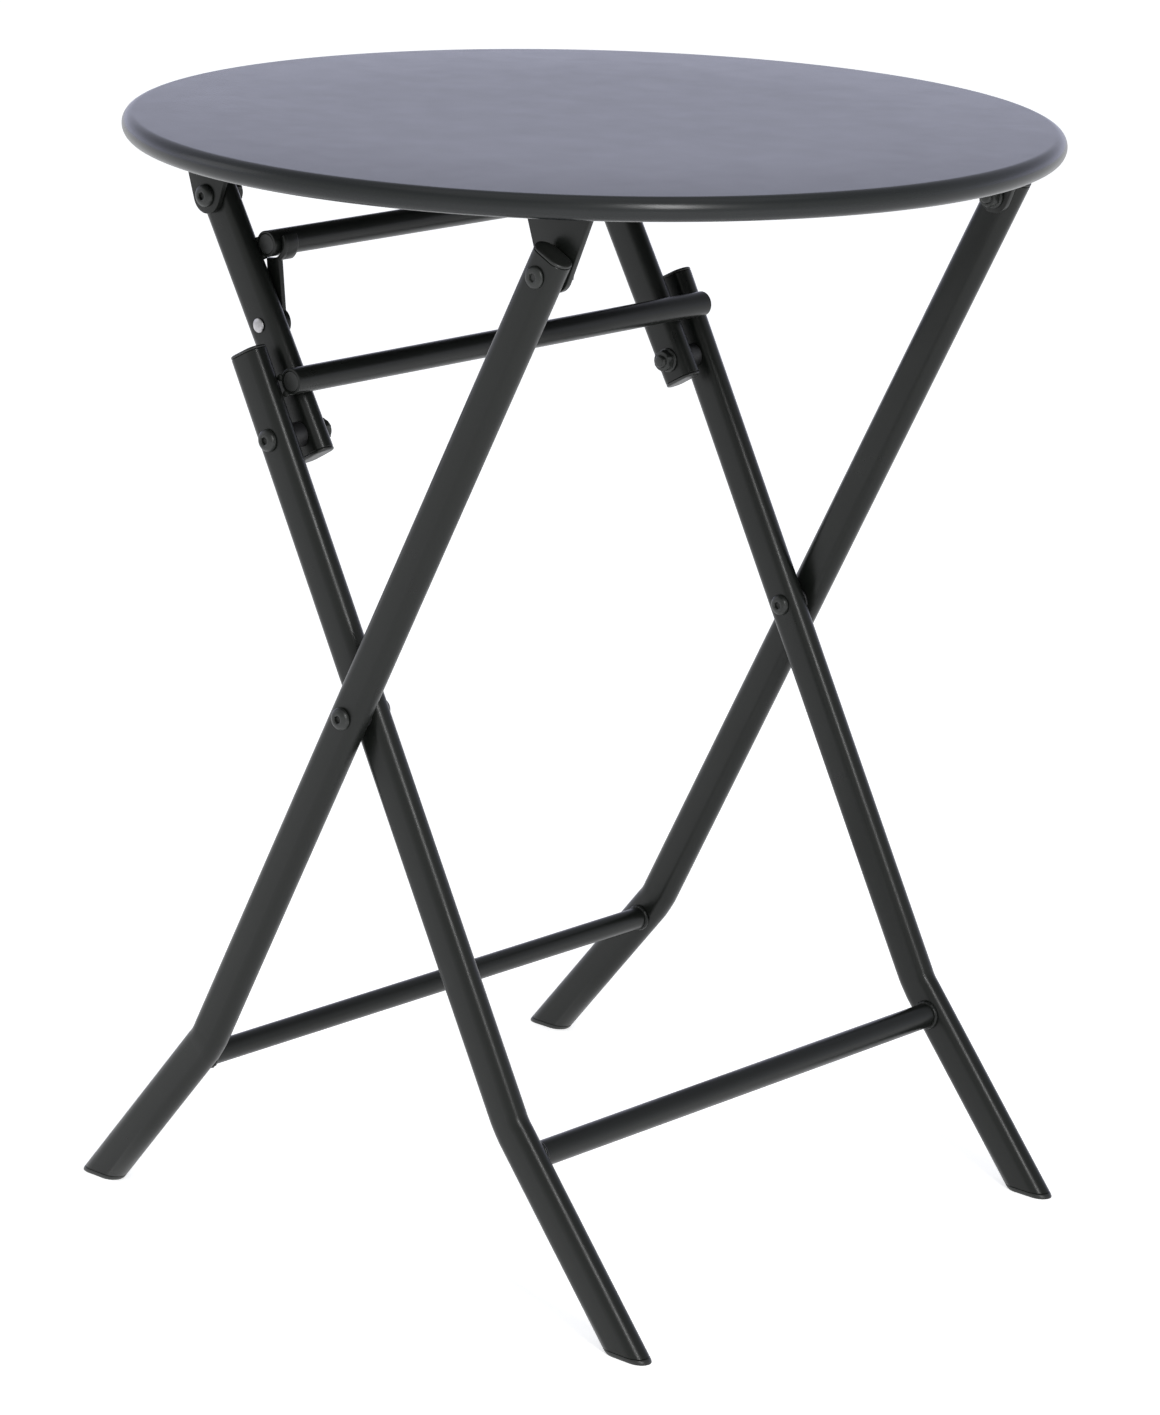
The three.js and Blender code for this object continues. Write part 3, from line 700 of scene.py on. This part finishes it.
def build_top():
    make_piece("top_sheet", [top_sheet()], "top", "top_paint", "top_panel", smooth=50)
    for word in SIDES:
        rail = "top_rail_" + word
        make_piece("under_rail_" + word, [channel(rail)], "top", "frame_paint", rail, smooth=50)
        for node, pivot, towards in (
            ("top_bracket_" + word, TOP_PIVOT, -1),
            ("link_bracket_" + word, LINK_PIVOT, 1),
        ):
            make_piece(node + "_plate", [bracket_rows(node, pivot, towards)], "top", "frame_paint", node)


# ---- Leg frames ----

def leg_plane(node):
    """How far across a leg's middle plane is, and the leg's thickness."""
    low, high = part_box(node)
    return (low.y + high.y) / 2, high.y - low.y


def build_bent_leg(kind, word, foot, bend, end):
    node = kind + "_leg_" + word
    y, thickness = leg_plane(node)
    body = kind + "_frame"
    stations = spaced(bend_stations(foot, bend, end), 60 * MM)
    shape = tube(stations, LEG_WIDTH, thickness, y, SOLE + GAP)
    make_piece(node + "_tube", [shape], body, "frame_paint", node)
    up = direction(bend, end)
    top = cap(end, up, y, LEG_WIDTH, thickness)
    make_piece(node + "_end", [top], body, "end_plastic", kind + "_leg_cap_" + word)
    sole = glide(foot, direction(foot, bend), y, LEG_WIDTH, thickness)
    make_piece(kind + "_foot_" + word, [sole], body, "end_plastic", kind + "_glide_" + word)


def bar_tube(node, wall=1.5 * MM, segments=48):
    """A round crossbar along Y, with its wall and softened ends."""
    low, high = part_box(node)
    point, radius = side_view((low + high) / 2), (high.z - low.z) / 2
    edge = 0.3 * MM
    rows = [(low.y, radius - edge), (low.y + edge, radius), (high.y - edge, radius)]
    rows += [(high.y, radius - edge), (high.y, radius - wall), (low.y, radius - wall)]
    rings = []
    for y, reach in rows:
        rings.append([place(point + spoke * reach, y) for spoke in spokes(segments)])
    return loft(rings, ring_closed=True)


def build_butted_bar(node, body, seed):
    """A crossbar that butts on the legs' inner faces, with a weld all round each end."""
    low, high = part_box(node)
    point, radius = side_view((low + high) / 2), (high.z - low.z) / 2
    make_piece(node + "_tube", [bar_tube(node)], body, "frame_paint", node)
    for word, side in SIDES.items():
        end = (high.y if side > 0 else low.y) - side * 0.6 * MM
        weld = weld_ring(point, end, radius + 0.1 * MM, 1.5 * MM, seed + side)
        make_piece(node + "_weld_" + word, [weld], body, "frame_paint")


def build_seated_bar(node, plug_name, body, leg_along, leg_node, seed):
    """A crossbar that lies on the legs' edges, with a plug in each end and a weld in each groove."""
    low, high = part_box(node)
    point, radius = side_view((low + high) / 2), (high.z - low.z) / 2
    make_piece(node + "_tube", [bar_tube(node)], body, "frame_paint", node)
    for word, side in SIDES.items():
        plug = plug_name + word
        outer, inner = outer_face_of(plug, side)
        fit, length = radius - 1.85 * MM, abs(outer - inner)
        rows = [(0, fit - 0.5 * MM, circle), (0.5 * MM, fit, circle), (length - 0.3 * MM, fit, circle)]
        rows.append((length, fit - 0.3 * MM, circle))
        make_piece(plug + "_disc", [turned(rows, point, inner, side)], body, "end_plastic", plug)
        y, thickness = leg_plane(leg_node + word)
        beads = weld_saddle(point, radius, leg_along, y, thickness, outer, seed + side * 3)
        make_piece(node + "_weld_" + word, beads, body, "frame_paint")


def build_frames():
    outer_end = TOP_PIVOT + OUTER_UP * OUTER_BEYOND_PIVOT
    inner_end = KNEE_PIVOT + INNER_UP * INNER_BEYOND_KNEE
    for word in SIDES:
        build_bent_leg("outer", word, OUTER_FOOT, OUTER_BEND, outer_end)
        build_bent_leg("inner", word, INNER_FOOT, INNER_BEND, inner_end)
        build_link(word)
    build_butted_bar("outer_crossbar", "outer_frame", 11)
    build_butted_bar("inner_crossbar", "inner_frame", 23)
    build_seated_bar("stop_bar", "stop_bar_plug_", "inner_frame", INNER_UP, "inner_leg_", 37)
    build_seated_bar("link_crossbar", "link_bar_plug_", "link_frame", LINK_UP, "link_leg_", 53)


def build_link(word):
    node = "link_leg_" + word
    y, thickness = leg_plane(node)
    low = KNEE_PIVOT - LINK_UP * LINK_BELOW_KNEE
    high = LINK_PIVOT + LINK_UP * LINK_ABOVE_PIVOT
    stations = spaced([(low, LINK_UP, 0.0), (high, LINK_UP, 0.0)], 40 * MM)
    shape = tube(stations, LINK_WIDTH, thickness, y)
    make_piece(node + "_tube", [shape], "link_frame", "frame_paint", node)
    for end, along, place_word in ((high, LINK_UP, "top"), (low, -LINK_UP, "bottom")):
        shape = cap(end, along, y, LINK_WIDTH, thickness)
        replaced = "link_" + place_word + "_cap_" + word
        make_piece("link_" + place_word + "_end_" + word, [shape], "link_frame", "end_plastic", replaced)


# ---- Safety catch ----

def arc_points(centre, radius, start, end, steps):
    """Points round an arc, in degrees."""
    for i in range(steps + 1):
        angle = math.radians(start + (end - start) * i / steps)
        yield (centre[0] + radius * math.cos(angle), centre[1] + radius * math.sin(angle))


def build_catch():
    """A flat lever on the near link's inner face, with a lipped hook round the crossbar's outer side."""
    low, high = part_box("safety_catch")
    bar_low, bar_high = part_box("link_crossbar")
    bar = side_view((bar_low + bar_high) / 2)
    distance = (bar - CATCH_PIVOT).length
    up = direction(CATCH_PIVOT, bar)
    right = aside_of(up)
    boss, half_width, sheet, thickness = 9.5 * MM, 5.8 * MM, 3 * MM, 3.6 * MM
    mouth = (bar_high.z - bar_low.z) / 2 + 1 * MM
    outside = mouth + sheet
    neck = math.degrees(math.asin(half_width / boss))
    shoulder = math.degrees(math.acos(half_width / outside))
    hook_end, lip_start = 180 / 7, -60
    outline = list(arc_points((0, 0), boss, 90 + neck, 450 - neck, 28))
    outline += arc_points((0, distance), outside, -shoulder, hook_end, 14)
    outline += arc_points((0, distance), mouth, hook_end, -90, 18)
    outline.append((-half_width, distance - mouth))
    lip_outline = list(arc_points((0, distance), outside, lip_start, hook_end, 14))
    lip_outline += arc_points((0, distance), mouth, hook_end, lip_start, 14)

    def to_point(u, v, depth):
        return place(CATCH_PIVOT + right * u + up * v, low.y + depth)

    lever = plate(outline, 0, thickness, to_point, 0.6 * MM)
    lip = plate(lip_outline, thickness / 2, high.y - low.y, to_point, 0.8 * MM)
    make_piece("catch_lever", [lever, lip], "catch", "frame_paint", "safety_catch")


def build_rivet():
    """The catch's rivet: a domed head outside the link and a formed tail on the lever."""
    low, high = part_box("catch_rivet")
    radius, height, shank_radius = 4.6 * MM, 1.6 * MM, 2.6 * MM
    rows = [(0, radius * 0.4, circle), (0.2 * MM, radius - 0.3 * MM, circle), (0.5 * MM, radius, circle)]
    for i in range(1, 7):
        angle = math.pi / 2 * i / 6.5
        dome = 0.5 * MM + (height - 0.5 * MM) * math.sin(angle)
        rows.append((dome, radius * math.cos(angle) ** 0.8, circle))
    outer_face, inner_face = low.y + height, high.y - height
    shank_rows = [(0, shank_radius, circle), (inner_face - outer_face, shank_radius, circle)]
    shank = turned(shank_rows, CATCH_PIVOT, outer_face, 1, 24)
    head = turned(rows, CATCH_PIVOT, outer_face, -1, 32)
    tail = turned(rows, CATCH_PIVOT, inner_face, 1, 32)
    make_piece("catch_rivet_bright", [shank, head, tail], "link_frame", "bright_rivet", "catch_rivet")


# ---- Fasteners ----

def outer_face_of(node, side):
    """A node's furthest and nearest distances across, from the middle of the table outwards."""
    low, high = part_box(node)
    return (high.y, low.y) if side > 0 else (low.y, high.y)


def build_fasteners():
    plain_head, low_head, sleeve_nut = (7.2 * MM, 4 * MM), (6.8 * MM, 2.4 * MM), (7 * MM, 3.6 * MM)
    nut_height = 9.2 * MM
    pivots = (
        ("top_pivot", TOP_PIVOT, "outer_frame", "top", low_head),
        ("cross_pivot", CROSS_PIVOT, "outer_frame", "inner_frame", plain_head),
        ("link_pivot", LINK_PIVOT, "top", "link_frame", plain_head),
        ("knee", KNEE_PIVOT, "inner_frame", "link_frame", plain_head),
    )
    for word, side in SIDES.items():
        for name, point, bolt_body, nut_body, head in pivots:
            bolt_node, nut_node = f"{name}_bolt_{word}", f"{name}_nut_{word}"
            far, near = outer_face_of(bolt_node, side)
            face = far - side * head[1]
            shape = bolt(point, face, side, abs(face - near), *head)
            make_piece(bolt_node + "_button", [shape], bolt_body, "fasteners", bolt_node)
            far, near = outer_face_of(nut_node, side)
            if name == "cross_pivot":
                # A low nut, whose barrel reaches into the inner leg.
                face = near + side * sleeve_nut[1]
                shape = bolt(point, face, -side, abs(far - face), *sleeve_nut)
            else:
                face = near + side * nut_height
                stub = max(0.0, abs(far - face) - 0.01 * MM)
                shape = nut(point, face, -side, stub)
            make_piece(nut_node + "_head", [shape], nut_body, "fasteners", nut_node)
        for node, point, radius, body in (
            ("cross_washer_" + word, CROSS_PIVOT, 9 * MM, "inner_frame"),
            ("knee_spacer_" + word, KNEE_PIVOT, 8 * MM, "inner_frame"),
        ):
            far, near = outer_face_of(node, side)
            shape = ring(point, near, side, radius, abs(far - near))
            make_piece(node + "_ring", [shape], body, "nylon", node)


# ---- Studio ----

# How bright the surround is at rising heights above the horizon. Behind the table it is bluer, and it
# falls off sooner, than in front.
SKY_BEHIND = (
    (0.0, (1.1, 1.13, 1.41)),
    (0.1, (1.1, 1.13, 1.41)),
    (0.32, (0.5, 0.51, 0.62)),
    (0.75, (0.36, 0.37, 0.4)),
)
SKY_AHEAD = (
    (0.0, (0.86, 0.88, 0.87)),
    (0.2, (0.86, 0.88, 0.87)),
    (0.45, (0.74, 0.76, 0.75)),
    (0.75, (0.4, 0.41, 0.42)),
)


def build_surround():
    """A sky whose brightness depends on height, and on whether it is behind the table or in front."""
    world = bpy.data.worlds.new("studio")
    bpy.context.scene.world = world
    world.use_nodes = True
    tree = world.node_tree
    around = tree.nodes.new("ShaderNodeTexCoord").outputs["Generated"]
    split = tree.nodes.new("ShaderNodeSeparateXYZ")
    tree.links.new(around, split.inputs["Vector"])
    facing = tree.nodes.new("ShaderNodeVectorMath")
    facing.operation = "DOT_PRODUCT"
    azimuth = math.radians(CAMERA_AZIMUTH)
    facing.inputs[1].default_value = (math.sin(azimuth), -math.cos(azimuth), 0)
    tree.links.new(around, facing.inputs[0])
    share = tree.nodes.new("ShaderNodeMapRange")
    share.inputs["From Min"].default_value = -0.6
    share.inputs["From Max"].default_value = 0.2
    tree.links.new(facing.outputs["Value"], share.inputs["Value"])
    blend = tree.nodes.new("ShaderNodeMix")
    blend.data_type = "RGBA"
    tree.links.new(share.outputs["Result"], blend.inputs["Factor"])
    for stops, key in ((SKY_BEHIND, "A"), (SKY_AHEAD, "B")):
        ramp = tree.nodes.new("ShaderNodeValToRGB")
        for height, _ in stops[1:-1]:
            ramp.color_ramp.elements.new(height)
        for element, (height, colour) in zip(ramp.color_ramp.elements, stops):
            element.position = height
            element.color = (*colour, 1)
        tree.links.new(split.outputs["Z"], ramp.inputs["Fac"])
        tree.links.new(ramp.outputs["Color"], blend.inputs[key])
    tree.links.new(blend.outputs["Result"], tree.nodes["Background"].inputs["Color"])


def build_floor():
    """A pale floor, which glows enough to run into a white background."""
    glow = 0.6
    reach = 30
    mesh = bpy.data.meshes.new("floor")
    corners = [(-reach, -reach, 0), (reach, -reach, 0), (reach, reach, 0), (-reach, reach, 0)]
    mesh.from_pydata(corners, [], [(0, 1, 2, 3)])
    paper = Nodes("floor_paper")
    paper.link(paper.ramp(paper.noise(1.5, 2), 0.86, 0.9), paper.shader.inputs["Base Color"])
    paper.shader.inputs["Roughness"].default_value = 0.9
    paper.shader.inputs["Specular IOR Level"].default_value = 0.1
    paper.shader.inputs["Emission Color"].default_value = (1, 1, 1, 1)
    paper.shader.inputs["Emission Strength"].default_value = glow
    mesh.materials.append(paper.material)
    floor = bpy.data.objects.new("floor", mesh)
    bpy.context.scene.collection.objects.link(floor)


def build_lights():
    """Two broad soft lights, and a narrow one that draws a bright line down each leg's edge."""
    aim = Vector((0, 0, 0.4))
    for name, where, size, power in (
        ("overhead", (0.3, -0.3, 3.2), (3.0, 3.0), 9),
        ("side", (-2.8, -1.6, 1.9), (1.6, 1.6), 5),
        ("strip", (2.15, -1.25, 2.0), (0.3, 1.8), 34),
    ):
        lamp = bpy.data.lights.new(name, "AREA")
        lamp.shape = "ELLIPSE"
        lamp.size, lamp.size_y = size
        lamp.energy = power
        light = bpy.data.objects.new(name, lamp)
        bpy.context.scene.collection.objects.link(light)
        light.location = where
        light.rotation_mode = "QUATERNION"
        light.rotation_quaternion = (aim - light.location).to_track_quat("-Z", "Y")


def build_camera():
    azimuth, elevation = math.radians(CAMERA_AZIMUTH), math.radians(CAMERA_ELEVATION)
    back = Vector((
        math.sin(azimuth) * math.cos(elevation),
        -math.cos(azimuth) * math.cos(elevation),
        math.sin(elevation),
    ))
    lens = bpy.data.cameras.new("camera")
    lens.sensor_width = 36
    lens.lens = CAMERA_LENS
    lens.clip_end = 100
    camera = bpy.data.objects.new("camera", lens)
    bpy.context.scene.collection.objects.link(camera)
    camera.location = CAMERA_AIM + back * CAMERA_DISTANCE
    camera.rotation_mode = "QUATERNION"
    roll = Matrix.Rotation(math.radians(CAMERA_ROLL), 4, "Z").to_quaternion()
    camera.rotation_quaternion = (-back).to_track_quat("-Z", "Y") @ roll
    bpy.context.scene.camera = camera
    bpy.context.scene.view_settings.view_transform = "Standard"


build_floor()
build_lights()
build_camera()
build_surround()
build_top()
build_frames()
build_catch()
build_rivet()
build_fasteners()
